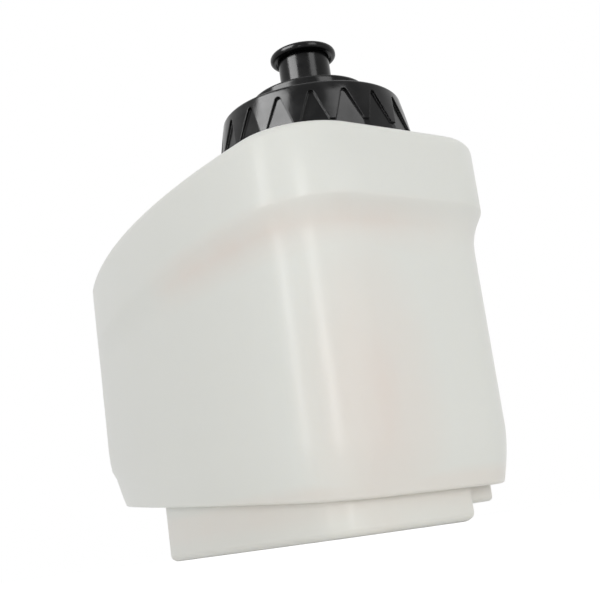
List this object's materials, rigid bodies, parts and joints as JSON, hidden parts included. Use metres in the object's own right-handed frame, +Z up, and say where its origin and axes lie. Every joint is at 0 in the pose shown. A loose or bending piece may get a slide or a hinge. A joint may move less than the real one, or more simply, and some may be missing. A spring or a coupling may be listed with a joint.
{
  "type": "coolant expansion tank",
  "caption": "Translucent blown plastic expansion tank with a hooded top, a tapering tail, a plinth foot and a toothed screw cap that carries a pull-up valve nozzle.",
  "frame": {"origin": "middle of the tank's length and width, on the plane that the foot stands on", "axes": "+X along the tank towards its blunt end, under the cap; +Z up along the cap's axis; +Y to the left of someone who looks along +X"},
  "size_m": [0.2006, 0.094, 0.1717],
  "materials": {
    "tank_plastic": "translucent natural polyethylene, satin",
    "seal_rubber": "matte",
    "cap_plastic": "polished black",
    "nozzle_plastic": "polished black"
  },
  "bodies": {
    "tank": {"tank": "tank_plastic"},
    "seal": {"cap_seal": "seal_rubber"},
    "cap": {"cap": "cap_plastic"},
    "nozzle": {"nozzle": "nozzle_plastic"}
  },
  "joints": [
    {"name": "cap_lift", "type": "slide", "parent": "tank", "child": "seal", "axis": [0, 0, 1], "range_m": [0, 0.00625]},
    {"name": "cap_turn", "type": "hinge", "parent": "seal", "child": "cap", "pos_m": [0.05705, 0, 0.14], "axis": [0, 0, 1], "range_deg": [0, 450]},
    {"name": "nozzle_pull", "type": "slide", "parent": "cap", "child": "nozzle", "axis": [0, 0, 1], "range_m": [0, 0.006]}
  ],
  "couplings": [
    {"joint": "cap_lift", "follows": "cap_turn", "m_per_rad": 0.00079577}
  ]
}
